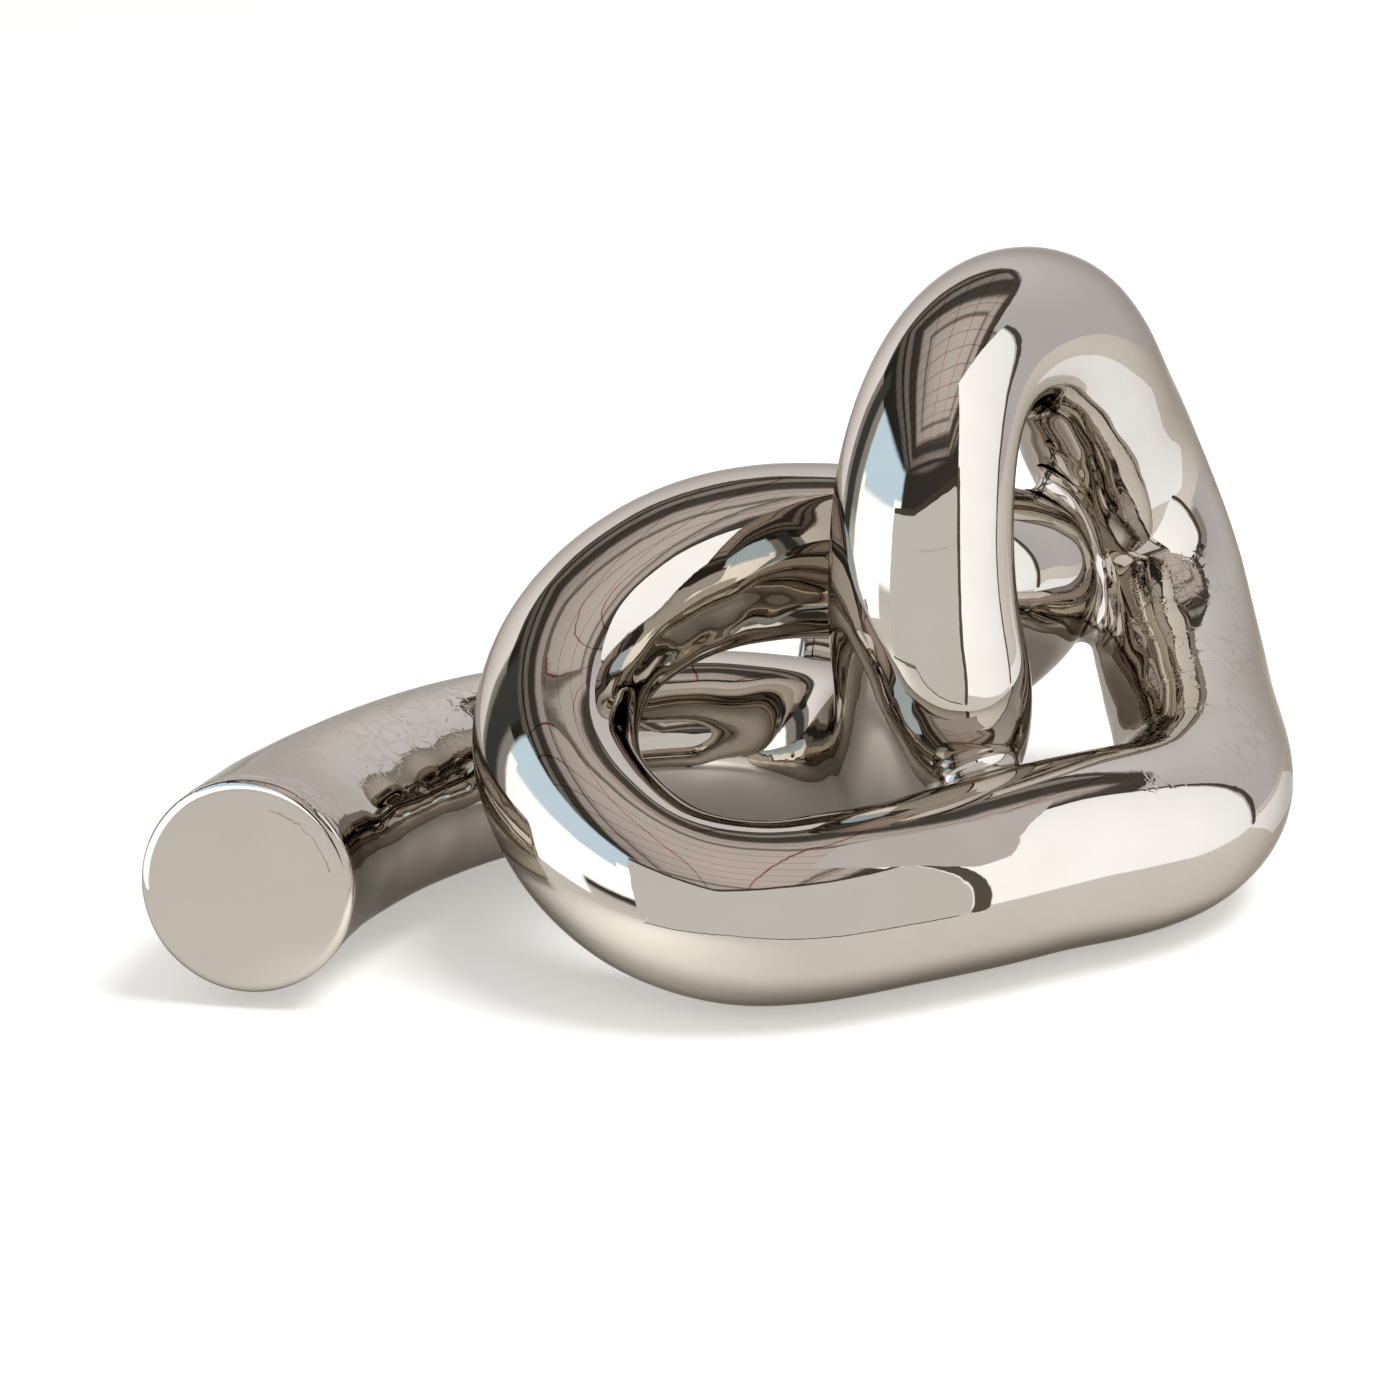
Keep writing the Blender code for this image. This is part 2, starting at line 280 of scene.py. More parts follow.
def finish_piece(mesh: Mesh, nickel: Material, nodes: tuple[str, ...]) -> None:
    """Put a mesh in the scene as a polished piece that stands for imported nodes.

    Args:
        mesh: The piece's mesh, with its place in its vertices.
        nickel: The polished finish.
        nodes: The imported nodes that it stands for.
    """
    mesh.shade_smooth()
    mesh.set_sharp_from_angle(angle=SHARP_ANGLE)
    mesh.materials.clear()
    mesh.materials.append(nickel)
    piece = put_in_scene(mesh)
    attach(piece, BODY)
    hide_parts(*nodes)
    LOG.info("%s: %d faces, stands for %d nodes", piece.name, len(mesh.polygons), len(nodes))


def natural_spline(knots: np.ndarray, values: np.ndarray, at: np.ndarray) -> np.ndarray:
    """Evaluate the natural cubic spline through some points.

    Args:
        knots: Where the points lie along the spline.
        values: The points, one per row.
        at: Where to evaluate.

    Returns:
        One row for each place in at.
    """
    count = len(knots)
    steps = np.diff(knots)[:, None]
    slopes = np.diff(values, axis=0) / steps
    system = np.eye(count)
    target = np.zeros_like(values)
    for row in range(1, count - 1):
        before, after = steps[row - 1, 0], steps[row, 0]
        system[row, row - 1:row + 2] = before, 2.0 * (before + after), after
        target[row] = 6.0 * (slopes[row] - slopes[row - 1])
    bend = np.linalg.solve(system, target)
    span = np.clip(np.searchsorted(knots, at) - 1, 0, count - 2)
    width = steps[span]
    into = (at - knots[span])[:, None]
    left = width - into
    curve = bend[span] * left ** 3 + bend[span + 1] * into ** 3
    line = (values[span] / width - bend[span] * width / 6.0) * left
    line += (values[span + 1] / width - bend[span + 1] * width / 6.0) * into
    return curve / (6.0 * width) + line


def lengths_along(points: np.ndarray) -> np.ndarray:
    """Length from the first of some points to each, one row a point, along the line through them."""
    return np.concatenate([[0.0], np.cumsum(np.linalg.norm(np.diff(points, axis=0), axis=1))])


@dataclass
class Route:
    """The tube's centreline and radius, as in the part, measured by length from the near end."""

    tube_radius: float = 26.5 * MM
    ground_gap: float = 1.3 * MM
    samples: int = 4000
    points: np.ndarray = field(init=False)
    radii: np.ndarray = field(init=False)
    lengths: np.ndarray = field(init=False)
    tangents: np.ndarray = field(init=False)
    marks: dict[str, float] = field(init=False)
    middle: np.ndarray = field(init=False)

    def __post_init__(self) -> None:
        """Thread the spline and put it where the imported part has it."""
        spots = np.array([[s.x, s.y, s.z] for s in ROUTE]) * self.tube_radius
        swells = np.array([[s.swell] for s in ROUTE]) * self.tube_radius
        knots = lengths_along(spots)
        at = np.linspace(0.0, knots[-1], self.samples)
        self.points = natural_spline(knots, spots, at)
        self.radii = natural_spline(knots, swells, at)[:, 0]
        self.lengths = lengths_along(self.points)
        self.marks = {s.name: float(np.interp(k, at, self.lengths)) for s, k in zip(ROUTE, knots)}
        self.tangents = np.gradient(self.points, self.lengths, axis=0)
        self.tangents /= np.linalg.norm(self.tangents, axis=1)[:, None]
        reach = self.radii[:, None] * np.sqrt(np.clip(1.0 - self.tangents ** 2, 0.0, 1.0))
        self.middle = ((self.points - reach).min(axis=0) + (self.points + reach).max(axis=0)) / 2.0
        self.points += [-self.middle[0], -self.middle[1], self.ground_gap]

    @property
    def total(self) -> float:
        """Length of the whole route."""
        return float(self.lengths[-1])

    def _read(self, rows: np.ndarray, at: np.ndarray | float) -> np.ndarray:
        """Rows of a table that runs along the route, at the given lengths."""
        return np.stack([np.interp(at, self.lengths, rows[:, axis]) for axis in range(3)], axis=-1)

    def point(self, at: np.ndarray | float) -> np.ndarray:
        """Centre of the tube at the given lengths."""
        return self._read(self.points, at)

    def tangent(self, at: float) -> np.ndarray:
        """Unit direction of the route at one length."""
        way = self._read(self.tangents, at)
        return way / np.linalg.norm(way)

    def radius(self, at: np.ndarray | float) -> np.ndarray:
        """Outer radius of the tube at the given lengths."""
        return np.interp(at, self.lengths, self.radii)

    def nearest(self, spot: np.ndarray, start: float, end: float) -> tuple[np.ndarray, float]:
        """Find the centre of a stretch of tube that is closest to a spot.

        Args:
            spot: The spot in space.
            start: Where the stretch starts.
            end: Where the stretch ends.

        Returns:
            The centre of the tube there, and its radius.
        """
        inside = np.nonzero((self.lengths >= start) & (self.lengths <= end))[0]
        heads, tails = self.points[inside[:-1]], self.points[inside[1:]]
        ways = tails - heads
        shares = np.sum((spot - heads) * ways, axis=1) / np.sum(ways * ways, axis=1)
        feet = heads + ways * np.clip(shares, 0.0, 1.0)[:, None]
        best = int(np.argmin(np.linalg.norm(feet - spot, axis=1)))
        return feet[best], float(self.radii[inside[best]])


@dataclass(frozen=True)
class PolishedNickel:
    """Nickel plate on cast aluminium, ground and buffed by hand.

    It mirrors the room in a warm grey. Its upper faces keep fine wandering ridges from the
    casting's skin. The ridges are raised, and a darker painted shade runs along them. There are
    also a few pits and very faint smears from the buffing wheel.
    """

    name: str = "polished_nickel_plate"
    bright: str = "#D2CBC2"
    worn: str = "#C7BFB4"
    edge_tint: str = "#BAB6B0"
    roughness: float = 0.02
    smear_roughness: float = 0.05
    smear_size: float = 22 * MM
    smear_span: Pair = (0.45, 0.75)
    # The peel is too shallow to feel: it only makes the edges of reflections tremble.
    peel_size: float = 4.0 * MM
    peel_height: float = 0.012 * MM
    pit_spacing: float = 5.0 * MM
    pit_span: Pair = (0.02, 0.05)
    pit_lottery: float = 0.88
    pit_depth: float = 0.03 * MM
    # Painted shade: the metal along the ridges is drawn in this darker colour, for their shaded sides.
    ridge_shade_colour: str = "#C2BAAF"
    ridge_cell: float = 6.5 * MM
    # The real ridges are about 1 mm across. This is each side's reach, before the wander bends it.
    ridge_width: float = 0.7 * MM
    ridge_height: float = 0.03 * MM
    ridge_wander: float = 9.1 * MM
    ridge_wander_size: float = 5.0 * MM
    ridge_patch: float = 24 * MM
    ridge_patch_span: Pair = (0.42, 0.56)
    ridge_upward_span: Pair = (0.52, 0.76)
    ridge_free_middle: float = 20 * MM
    ridge_free_span: Pair = (90 * MM, 103.5 * MM)

    def build(self) -> Material:
        """Make the material.

        Returns:
            The finished material.
        """
        made, tree = start_material(self.name)
        given = add_node(tree, "ShaderNodeTexCoord").outputs
        place = given["Object"]
        smear = add_node(tree, NOISE, {
            "Vector": place, "Scale": 1.0 / self.smear_size, "Detail": 5.0, "Roughness": 0.6,
        })
        smeared = (smear, *self.smear_span, self.roughness, self.smear_roughness)
        tint = add_node(tree, MIX, (smear, linear(self.worn), linear(self.bright)), **RGBA)
        peel = add_node(tree, NOISE, {"Vector": place, "Scale": 1.0 / self.peel_size, "Detail": 1.0})
        peeled = add_node(tree, BUMP, {"Height": peel, "Distance": self.peel_height})
        pit = self._pits(tree, place)
        pitted = {"Height": pit, "Distance": self.pit_depth, "Normal": peeled}
        worked = add_node(tree, BUMP, pitted, invert=True)
        ridge = self._ridges(tree, place, given["Normal"])
        raised = add_node(tree, BUMP, {"Height": ridge, "Distance": self.ridge_height, "Normal": worked})
        feed(tree.nodes["Principled BSDF"], {
            "Metallic": 1.0,
            "Specular Tint": linear(self.edge_tint),
            # Painted shade: along the ridges, the tint goes over to the darker ridge colour.
            "Base Color": add_node(tree, MIX, (ridge, tint, linear(self.ridge_shade_colour)), **RGBA),
            "Roughness": add_node(tree, MAP_RANGE, smeared, **SMOOTH),
            "Normal": raised,
        })
        return made

    def _pits(self, tree: Tree, place: Socket) -> Node:
        """Draw casting pits: small dots at a few of the cells of a Voronoi pattern.

        Args:
            tree: The material's node tree.
            place: Socket with the place on the object.

        Returns:
            The node with 1 in the pits and 0 outside.
        """
        cells = add_node(tree, "ShaderNodeTexVoronoi", {"Vector": place, "Scale": 1.0 / self.pit_spacing})
        dot = add_node(tree, MAP_RANGE, (cells, *self.pit_span, 1.0, 0.0), **SMOOTH)
        ticket = add_node(tree, "ShaderNodeSeparateColor", (cells.outputs["Color"],))
        chosen = add_node(tree, MATH, (ticket, self.pit_lottery), operation="GREATER_THAN")
        return add_node(tree, MATH, (dot, chosen), operation="MULTIPLY")

    def _ridges(self, tree: Tree, place: Socket, facing: Socket) -> Node:
        """Draw broken worm-like ridges, in patches of the outer faces that look up.

        Args:
            tree: The material's node tree.
            place: Socket with the place on the object.
            facing: Socket with the way that the surface faces.

        Returns:
            The node with 1 on the ridges and 0 between them.
        """
        bend = add_node(tree, NOISE, {"Vector": place, "Scale": 1.0 / self.ridge_wander_size, "Detail": 2.0})
        shift = (bend.outputs["Color"], (self.ridge_wander,) * 3, place)
        cells = add_node(tree, "ShaderNodeTexVoronoi", {
            "Vector": add_node(tree, VECTOR_MATH, shift, operation="MULTIPLY_ADD"),
            "Scale": 1.0 / self.ridge_cell,
        }, feature="DISTANCE_TO_EDGE")
        width = self.ridge_width / self.ridge_cell
        patch = add_node(tree, NOISE, {
            "Vector": place, "Scale": 1.0 / self.ridge_patch, "Detail": 4.0, "Roughness": 0.7,
        })
        height = add_node(tree, "ShaderNodeSeparateXYZ", (facing,)).outputs["Z"]
        across = add_node(tree, "ShaderNodeSeparateXYZ", (place,))
        off = add_node(tree, MATH, (across, self.ridge_free_middle), operation="SUBTRACT")
        away = add_node(tree, MATH, (off,), operation="ABSOLUTE")
        ridge = add_node(tree, MAP_RANGE, (cells, 0.0, width, 1.0, 0.0), **SMOOTH)
        for value, span in (
            (patch, self.ridge_patch_span),
            (height, self.ridge_upward_span),
            (away, self.ridge_free_span),
        ):
            share = add_node(tree, MAP_RANGE, (value, *span), **SMOOTH)
            ridge = add_node(tree, MATH, (ridge, share), operation="MULTIPLY")
        return ridge


@dataclass(frozen=True)
class Mottled:
    """A finish whose colour and relief both follow one fine noise."""

    name: str
    dark: str
    light: str
    grain: float
    detail: float
    relief: float
    roughness: float
    distortion: float = 0.0
    metallic: float = 0.0
    sheen: float = 0.0

    def build(self) -> Material:
        """Make the material.

        Returns:
            The finished material.
        """
        made, tree = start_material(self.name)
        grain = add_node(tree, NOISE, {
            "Vector": add_node(tree, "ShaderNodeTexCoord").outputs["Object"],
            "Scale": 1.0 / self.grain,
            "Detail": self.detail,
            "Distortion": self.distortion,
        })
        tint = (grain, linear(self.dark), linear(self.light))
        feed(tree.nodes["Principled BSDF"], {
            "Base Color": add_node(tree, MIX, tint, **RGBA),
            "Metallic": self.metallic,
            "Roughness": self.roughness,
            "Sheen Weight": self.sheen,
            "Normal": add_node(tree, BUMP, {"Height": grain, "Distance": self.relief}),
        })
        return made


@dataclass(frozen=True)
class TurnedAluminium(Mottled):
    """Bare aluminium straight from the lathe: dull grey with fine turning lines."""

    name: str = "turned_aluminium"
    dark: str = "#A3A4A7"
    light: str = "#BDBEC0"
    # Real turning lines are about 0.2 mm apart. They are drawn coarser, so that they show.
    grain: float = 0.8 * MM
    detail: float = 3.0
    relief: float = 0.02 * MM
    roughness: float = 0.42
    metallic: float = 1.0


@dataclass(frozen=True)
class PressedFelt(Mottled):
    """Grey wool felt, pressed hard: matt, mottled and slightly fuzzy."""

    name: str = "pressed_wool_felt"
    dark: str = "#3F3C3A"
    light: str = "#6E6A66"
    # Real wool is about 0.03 mm thick. It is drawn as tufts, so that it shows.
    grain: float = 0.35 * MM
    detail: float = 6.0
    relief: float = 0.15 * MM
    roughness: float = 0.95
    distortion: float = 1.5
    sheen: float = 0.4


class Dents(NamedTuple):
    """One kind of hand work on the skin: how far apart its hollows are, and how deep."""

    name: str
    length: float
    depth: float

    def inputs(self) -> dict[str, float]:
        """The sweep's inputs for these dents, by name."""
        return {f"{self.name} Length": self.length, f"{self.name} Depth": self.depth}


@dataclass
class TubeSkin:
    """The one polished skin of the knot, swept along the route by Geometry Nodes."""

    route: Route
    nodes: tuple[str, ...]
    seams: tuple[Place, ...]
    disc_thickness: float = 5.0 * MM
    ring_spacing: float = 1.6 * MM
    sides: int = 96
    inset: float = 0.15 * MM
    crease_depth: float = 0.35 * MM
    crease_width: float = 0.5 * MM
    dents: tuple[Dents, Dents, Dents] = (
        Dents("Wave", 28 * MM, 0.6 * MM),
        Dents("Ripple", 8 * MM, 0.035 * MM),
        Dents("Hollow", 17 * MM, 0.9 * MM),
    )
    hollow_centres: tuple[Place, ...] = (
        (2 * MM, -53 * MM, 53 * MM),
        (90 * MM, 10 * MM, 85 * MM),
    )
    hollow_span: Pair = (0.05, 0.65)
    turn_centre: Place = (85 * MM, 47 * MM, 80 * MM)
    turn_reach: Pair = (32 * MM, 52 * MM)
    seam_reach: Pair = (33 * MM, 50 * MM)

    def build(self, nickel: Material) -> None:
        """Sweep the skin and put it in the scene.

        Args:
            nickel: The polished finish.
        """
        floats = {name: size for dents in self.dents for name, size in dents.inputs().items()}
        guide = self._guide()
        sweep = guide.modifiers.new("sweep", "NODES")
        sweep.node_group, sockets = self._tree(floats)
        for name, value in ({"Sides": self.sides, "Finish": nickel} | floats).items():
            sweep[sockets[name]] = value
        graph = bpy.context.evaluated_depsgraph_get()
        mesh = bpy.data.meshes.new_from_object(guide.evaluated_get(graph), depsgraph=graph)
        guide.modifiers.remove(sweep)
        bpy.data.objects.remove(guide, do_unlink=True)
        mesh.name = "tube_skin"
        finish_piece(mesh, nickel, self.nodes)

    def _guide(self) -> bpy.types.Object:
        """Lay the centreline as a chain of edges that carries the tube's radius.

        Returns:
            The guide, in the scene.
        """
        start, end = self.disc_thickness, self.route.total - self.disc_thickness
        count = round((end - start) / self.ring_spacing)
        at = np.linspace(start, end, count + 1)
        crease = self.crease_depth * np.exp(-np.minimum(at - start, end - at) / self.crease_width)
        mesh = bpy.data.meshes.new("tube_guide")
        mesh.from_pydata([tuple(p) for p in self.route.point(at)], [(k, k + 1) for k in range(count)], [])
        radius = mesh.attributes.new("tube_radius", "FLOAT", "POINT")
        radius.data.foreach_set("value", self.route.radius(at) - self.inset - crease)
        return put_in_scene(mesh)

    def _tree(self, floats: dict[str, float]) -> tuple[Tree, dict[str, str]]:
        """Build the sweep's node tree.

        Args:
            floats: The inputs that are plain sizes, by name.

        Returns:
            The tree, and each input's identifier by its name.
        """
        tree = bpy.data.node_groups.new("tube_sweep", "GeometryNodeTree")
        kinds = {"Geometry": "NodeSocketGeometry", "Sides": "NodeSocketInt"}
        kinds |= {name: "NodeSocketFloat" for name in floats} | {"Finish": "NodeSocketMaterial"}
        sockets = {}
        for name, kind in kinds.items():
            made = tree.interface.new_socket(name=name, in_out="INPUT", socket_type=kind)
            sockets[name] = made.identifier
        tree.interface.new_socket(name="Geometry", in_out="OUTPUT", socket_type="NodeSocketGeometry")
        given = add_node(tree, "NodeGroupInput").outputs
        radius = add_node(tree, "GeometryNodeInputNamedAttribute", ("tube_radius",), data_type="FLOAT")
        sweep = add_node(tree, "GeometryNodeCurveToMesh", {
            "Curve": add_node(tree, "GeometryNodeMeshToCurve", (given["Geometry"],)),
            "Profile Curve": add_node(tree, "GeometryNodeCurvePrimitiveCircle", (given["Sides"], 1.0)),
            "Scale": radius,
            "Fill Caps": True,
        })
        wave, ripple, hollow = (self._dented(tree, given, dents) for dents in self.dents)
        even = add_node(tree, MATH, (wave, ripple), operation="ADD")
        deep = add_node(tree, MATH, (hollow, self._facing_inward(tree), even), operation="MULTIPLY_ADD")
        kept = add_node(tree, MATH, (deep, self._clear_of_seams(tree)), operation="MULTIPLY")
        inward = add_node(tree, MATH, (kept, -1.0), operation="MULTIPLY")
        normal = add_node(tree, "GeometryNodeInputNormal")
        worked = add_node(tree, "GeometryNodeSetPosition", {
            "Geometry": sweep,
            "Offset": add_node(tree, VECTOR_MATH, (normal, inward), operation="SCALE"),
        })
        real = add_node(tree, "GeometryNodeRealizeInstances", (worked,))
        dressed = add_node(tree, "GeometryNodeSetMaterial", {"Geometry": real, "Material": given["Finish"]})
        add_node(tree, "NodeGroupOutput", (dressed,))
        return tree, sockets

    def _near(self, tree: Tree, spot: Place, reach: Pair, shares: Pair) -> Node:
        """Measure how near each point of the surface is to a spot.

        Args:
            tree: The sweep's node tree.
            spot: The spot.
            reach: The distances between which the share changes.
            shares: The share up to the first distance, and from the second.

        Returns:
            The node with the share.
        """
        place = add_node(tree, "GeometryNodeInputPosition")
        away = add_node(tree, VECTOR_MATH, (place, spot), operation="DISTANCE")
        return add_node(tree, MAP_RANGE, (away, *reach, *shares), **SMOOTH)

    def _facing_inward(self, tree: Tree) -> Node:
        """Find the faces that look at the middle of a loop, where a wheel can't reach to buff.

        Args:
            tree: The sweep's node tree.

        Returns:
            The node with 1 on such faces, and near the back turn, and 0 elsewhere.
        """
        place = add_node(tree, "GeometryNodeInputPosition")
        normal = add_node(tree, "GeometryNodeInputNormal")
        most = self._near(tree, self.turn_centre, self.turn_reach, (1.0, 0.0))
        for centre in self.hollow_centres:
            way = add_node(tree, VECTOR_MATH, (centre, place), operation="SUBTRACT")
            unit = add_node(tree, VECTOR_MATH, (way,), operation="NORMALIZE")
            faced = add_node(tree, VECTOR_MATH, (unit, normal), operation="DOT_PRODUCT")
            share = add_node(tree, MAP_RANGE, (faced, *self.hollow_span), **SMOOTH)
            most = add_node(tree, MATH, (share, most), operation="MAXIMUM")
        return most

    def _clear_of_seams(self, tree: Tree) -> Node | float:
        """Find how much of the dents stays, which fade where a fused seam meets the skin.

        Args:
            tree: The sweep's node tree.

        Returns:
            The node with 0 at a seam and 1 away from them.
        """
        least: Node | float = 1.0
        for seam in self.seams:
            share = self._near(tree, seam, self.seam_reach, (0.0, 1.0))
            least = add_node(tree, MATH, (share, least), operation="MINIMUM")
        return least

    def _dented(self, tree: Tree, given: Any, dents: Dents) -> Node:
        """Find how far hand work has taken the surface down, between nothing and a depth.

        Args:
            tree: The sweep's node tree.
            given: The tree's inputs.
            dents: Which of them to use.

        Returns:
            The node with the depth at each point.
        """
        pattern = add_node(tree, NOISE, {
            "Vector": add_node(tree, "GeometryNodeInputPosition"),
            "Scale": add_node(tree, MATH, (1.0, given[f"{dents.name} Length"]), operation="DIVIDE"),
            "Detail": 0.0,
        })
        return add_node(tree, MATH, (pattern, given[f"{dents.name} Depth"]), operation="MULTIPLY")


@dataclass
class EndDisc:
    """A flat disc that closes one end of the tube, domed a little and rounded at its edge."""

    route: Route
    end: End
    thickness: float = 5.0 * MM
    edge_round: float = 2.6 * MM
    dome: float = 0.12 * MM
    dome_power: int = 6
    crease_depth: float = 0.35 * MM
    inset: float = 0.45 * MM
    spigot_length: float = 9.0 * MM
    wall: float = 4.6 * MM
    sides: int = 144
    face_rings: int = 26
    edge_rings: int = 14
    dent_size: float = 14 * MM
    dent_depth: float = 0.02 * MM

    def build(self, nickel: Material) -> None:
        """Turn the disc and put it in the scene.

        Args:
            nickel: The polished finish.
        """
        at = 0.0 if self.end is End.FRONT else self.route.total
        centre = Vector(self.route.point(at))
        out = Vector(self.route.tangent(at)) * self.end.outward
        side = out.cross(Vector((0.0, 0.0, 1.0))).normalized()
        up = side.cross(out)
        bm = bmesh.new()
        rings = []
        for reach, back in self._profile(float(self.route.radius(at)) - self.inset):
            ring = []
            for k in range(self.sides):
                angle = 2.0 * math.pi * k / self.sides
                spot = centre - out * back + (side * math.cos(angle) + up * math.sin(angle)) * reach
                ring.append(bm.verts.new(spot - out * self._dent(spot)))
            rings.append(ring)
        for near, far in zip(rings, rings[1:]):
            for k in range(self.sides):
                after = (k + 1) % self.sides
                bm.faces.new((near[k], near[after], far[after], far[k]))
        for ring, back in ((rings[0], 0.0), (rings[-1], self.thickness)):
            pole = bm.verts.new(centre - out * (back + self._dent(centre)))
            for k in range(self.sides):
                bm.faces.new((pole, ring[k], ring[(k + 1) % self.sides]))
        bmesh.ops.recalc_face_normals(bm, faces=bm.faces)
        mesh = finish_mesh(bm, self.end.node.replace("end_disc", "polished_disc"))
        finish_piece(mesh, nickel, (self.end.node,))

    def _dent(self, spot: Vector) -> float:
        """How far polishing has taken the face down at a spot."""
        return self.dent_depth * (1.0 + noise.noise(spot / self.dent_size))

    def _profile(self, rim: float) -> list[Pair]:
        """Draw the disc's outline, from the middle of its face round to its back.

        Args:
            rim: The disc's outer radius.

        Returns:
            Each point's reach from the axis and depth behind the face.
        """
        flat = rim - self.edge_round
        bore = rim - self.wall
        foot = self.thickness + self.spigot_length
        points = []
        for k in range(1, self.face_rings + 1):
            reach = flat * k / self.face_rings
            points.append((reach, self.dome * (reach / flat) ** self.dome_power))
        for k in range(1, self.edge_rings + 1):
            angle = math.pi / 2.0 * k / self.edge_rings
            sink = (self.edge_round - self.dome) * (1.0 - math.cos(angle))
            points.append((flat + self.edge_round * math.sin(angle), self.dome + sink))
        return points + [
            (rim, self.thickness - self.crease_depth),
            (rim - self.crease_depth, self.thickness),
            (bore, self.thickness),
            (bore, foot),
            (bore - self.wall, foot),
            (bore - self.wall, self.thickness),
        ]


@dataclass
class FusedSeam:
    """The metal between two touching runs, as the path of a ball rolled round the contact."""

    route: Route
    contact: Contact
    ball: float = 4.0 * MM
    inset: float = 0.2 * MM
    turns: int = 96
    arc_steps: int = 12
    first_guess: float = 12.0 * MM
    nudge: float = 0.01 * MM
    solver_steps: int = 14
    search_steps: int = 200
    reach: float = 60 * MM
    root_share: float = 0.15

    def build(self, nickel: Material) -> None:
        """Roll the fillet and put it in the scene.

        Args:
            nickel: The polished finish.
        """
        ends = self._closest()
        near, far = (self.route.point(at) for at in ends)
        across = (far - near) / np.linalg.norm(far - near)
        near_skin = near + across * self.route.radius(ends[0])
        far_skin = far - across * self.route.radius(ends[1])
        middle = (near_skin + far_skin) / 2.0
        first = np.cross(across, self.route.tangent(ends[0]))
        first /= np.linalg.norm(first)
        second = np.cross(across, first)
        bm = bmesh.new()
        loops = []
        for k in range(self.turns):
            angle = 2.0 * math.pi * k / self.turns
            way = first * math.cos(angle) + second * math.sin(angle)
            loops.append([bm.verts.new(p) for p in self._arc(middle, way, across, ends)])
        for k, loop in enumerate(loops):
            after = loops[(k + 1) % self.turns]
            for j in range(len(loop)):
                step = (j + 1) % len(loop)
                bm.faces.new((loop[j], loop[step], after[step], after[j]))
        bmesh.ops.recalc_face_normals(bm, faces=bm.faces)
        mesh = finish_mesh(bm, self.contact.node.replace("fillet", "fused_seam"))
        finish_piece(mesh, nickel, (self.contact.node,))

    def middle(self) -> Place:
        """The place midway between the two runs where they come closest."""
        here, there = (self.route.point(at) for at in self._closest())
        return tuple(float(value) for value in (here + there) / 2.0)

    def _closest(self) -> Pair:
        """Find where the two runs come closest, skin to skin.

        Returns:
            The length along the route there, on each run.
        """
        here, there = (
            np.linspace(*sorted(self.route.marks[name] for name in names), self.search_steps)
            for names in self.contact.value[1:]
        )
        gaps = np.linalg.norm(self.route.point(here)[:, None] - self.route.point(there)[None], axis=2)
        gaps = gaps - self.route.radius(here)[:, None] - self.route.radius(there)[None]
        row, column = np.unravel_index(np.argmin(gaps), gaps.shape)
        return float(here[row]), float(there[column])

    def _feet(self, ball: np.ndarray, ends: Pair) -> list[tuple[np.ndarray, float]]:
        """Centre and radius of each run where it is nearest to the ball's centre."""
        return [self.route.nearest(ball, at - self.reach, at + self.reach) for at in ends]

    def _misses(self, ball: np.ndarray, ends: Pair) -> np.ndarray:
        """How far the ball is from touching each run."""
        gaps = [np.linalg.norm(ball - centre) - radius for centre, radius in self._feet(ball, ends)]
        return np.array(gaps) - (self.ball - self.inset)

    def _arc(self, middle: np.ndarray, way: np.ndarray, across: np.ndarray, ends: Pair) -> list[np.ndarray]:
        """Draw one section of the fillet: the inner side of the ball, closed inside the metal.

        Args:
            middle: The contact's middle.
            way: Direction from the middle in which the ball lies.
            across: Direction from the first run to the second.
            ends: Length along the route at the contact, on each run.

        Returns:
            The section's points.
        """
        axes = np.array([way, across])
        place = np.array([self.first_guess, 0.0])
        for _ in range(self.solver_steps):
            miss = self._misses(middle + place @ axes, ends)
            slope = np.column_stack([
                (self._misses(middle + (place + nudge) @ axes, ends) - miss) / self.nudge
                for nudge in np.eye(2) * self.nudge
            ])
            step = np.linalg.lstsq(slope, miss, rcond=None)[0]
            place = place - np.clip(step, -self.ball, self.ball)
        ball = middle + place @ axes
        legs = [(centre - ball) / np.linalg.norm(centre - ball) for centre, _ in self._feet(ball, ends)]
        spread = math.acos(float(np.clip(legs[0].dot(legs[1]), -1.0, 1.0)))
        points = []
        for share in np.linspace(0.0, 1.0, self.arc_steps + 1):
            spoke = legs[0] * math.sin((1.0 - share) * spread) + legs[1] * math.sin(share * spread)
            points.append(ball + spoke / math.sin(spread) * self.ball)
        points.append(middle + way * place[0] * self.root_share)
        return points


@dataclass
class HiddenPieces:
    """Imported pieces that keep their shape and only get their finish."""

    frame: dict[str, Any]

    def dress(self, prefix: str, material: Material) -> None:
        """Give every node whose name starts with a prefix a material.

        Args:
            prefix: Start of the nodes' names.
            material: The finish.
        """
        for name, node in self.frame["nodes"].items():
            if not name.startswith(prefix):
                continue
            if not node.material_slots:
                node.data.materials.append(material)
            for slot in node.material_slots:
                slot.material = material
            LOG.info("%s: kept, finished in %s", name, material.name)


class Board(NamedTuple):
    """A glowing board that stands round the sculpture, only there to be mirrored.

    Its foot follows a line on the floor. Its height, colour and strength change from one end of
    it to the other, and its edges fade out over the soft width. Sizes are in metres.
    """

    name: str
    foot: tuple[Pair, ...]
    top: Pair
    colours: tuple[str, str]
    soft: float
    bottom: Pair = (0.0, 0.0)
    strengths: Pair = (1.0, 1.0)


class Sheet(NamedTuple):
    """A level sheet of bright card that glows as painted light, only there to be mirrored. Sizes are in
    metres.
    """

    name: str
    corners: tuple[Pair, ...]
    height: float
    colour: str
    strength: float
    clear_from_above: bool = False


